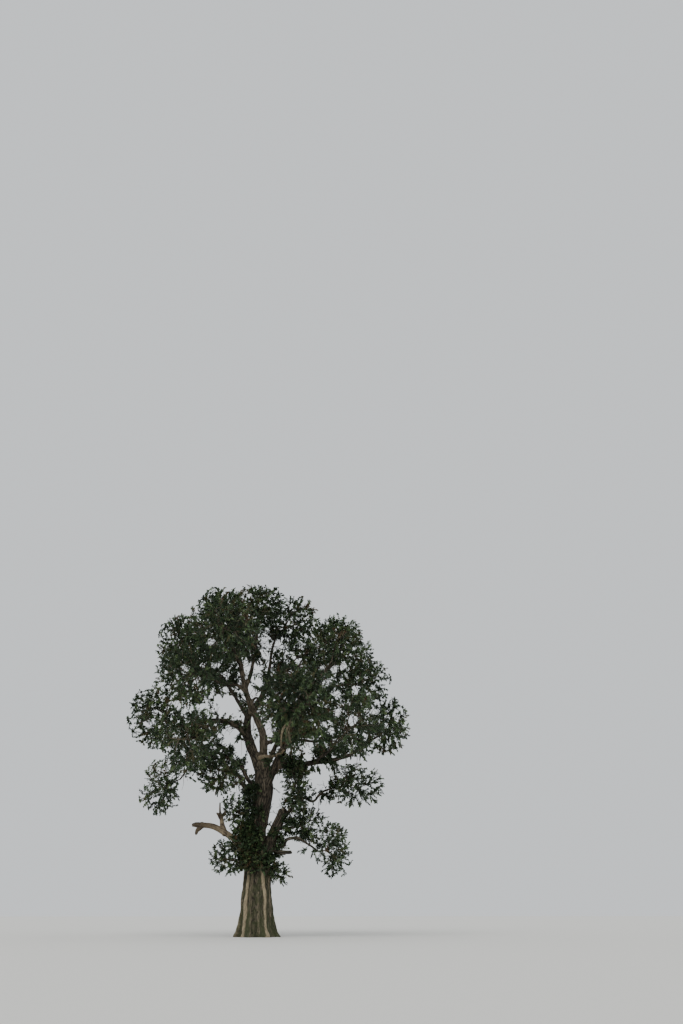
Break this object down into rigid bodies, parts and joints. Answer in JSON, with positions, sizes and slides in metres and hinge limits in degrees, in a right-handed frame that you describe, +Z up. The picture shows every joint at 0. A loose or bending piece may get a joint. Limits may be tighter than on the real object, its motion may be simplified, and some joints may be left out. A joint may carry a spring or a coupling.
{
  "type": "banyan tree",
  "caption": "Mature banyan tree with a forked mossy trunk, winding boughs, a dead bough and an open, uneven crown of small dark leaves.",
  "frame": {"origin": "middle of the trunk's flat cut at ground level", "axes": "+Z up along the trunk; +Y away from the side seen in the picture; +X to the right of that side"},
  "size_m": [18.9605, 16.325, 23.0189],
  "materials": {
    "bark": "rough grey-brown bark with moss",
    "dead_wood": "bare weathered wood",
    "foliage": "dark green leaves on thin twigs"
  },
  "bodies": {
    "root": {"trunk": "bark", "central_leader": "bark", "left_leader": "bark", "left_bough": "bark", "upper_right_leader": "bark", "top_right_leader": "bark", "high_left_bough": "bark", "rising_right_bough": "bark", "level_right_bough": "bark", "middle_right_bough": "bark", "right_side_bough": "bark", "hanging_right_bough": "bark", "right_stem": "bark", "winding_bough": "bark", "arch_rise": "bark", "arch_fall": "bark", "low_left_bough": "bark", "low_left_end": "bark", "dead_bough": "dead_wood", "back_bough": "bark", "back_left_bough": "bark", "low_back_bough": "bark", "front_right_bough": "bark", "front_level_bough": "bark", "front_left_bough": "bark", "front_high_left_bough": "bark", "front_top_bough": "bark", "back_top_bough": "bark", "back_right_bough": "bark", "left_aerial_root": "bark", "right_aerial_root": "bark", "top_left_foliage": "foliage", "top_foliage": "foliage", "upper_right_foliage": "foliage", "far_upper_right_foliage": "foliage", "right_side_foliage": "foliage", "far_right_foliage": "foliage", "centre_foliage": "foliage", "right_foliage": "foliage", "hanging_right_foliage": "foliage", "low_right_foliage": "foliage", "stem_foliage": "foliage", "weeping_right_foliage": "foliage", "stem_foot_foliage": "foliage", "high_left_foliage": "foliage", "left_foliage": "foliage", "weeping_left_foliage": "foliage", "inner_left_foliage": "foliage", "trunk_foliage": "foliage", "low_trunk_foliage": "foliage", "front_top_foliage": "foliage", "front_high_left_foliage": "foliage", "front_left_foliage": "foliage", "front_right_foliage": "foliage", "front_level_foliage": "foliage", "back_top_foliage": "foliage", "back_right_foliage": "foliage", "back_left_foliage": "foliage", "back_foliage": "foliage", "low_back_foliage": "foliage"}
  },
  "joints": []
}
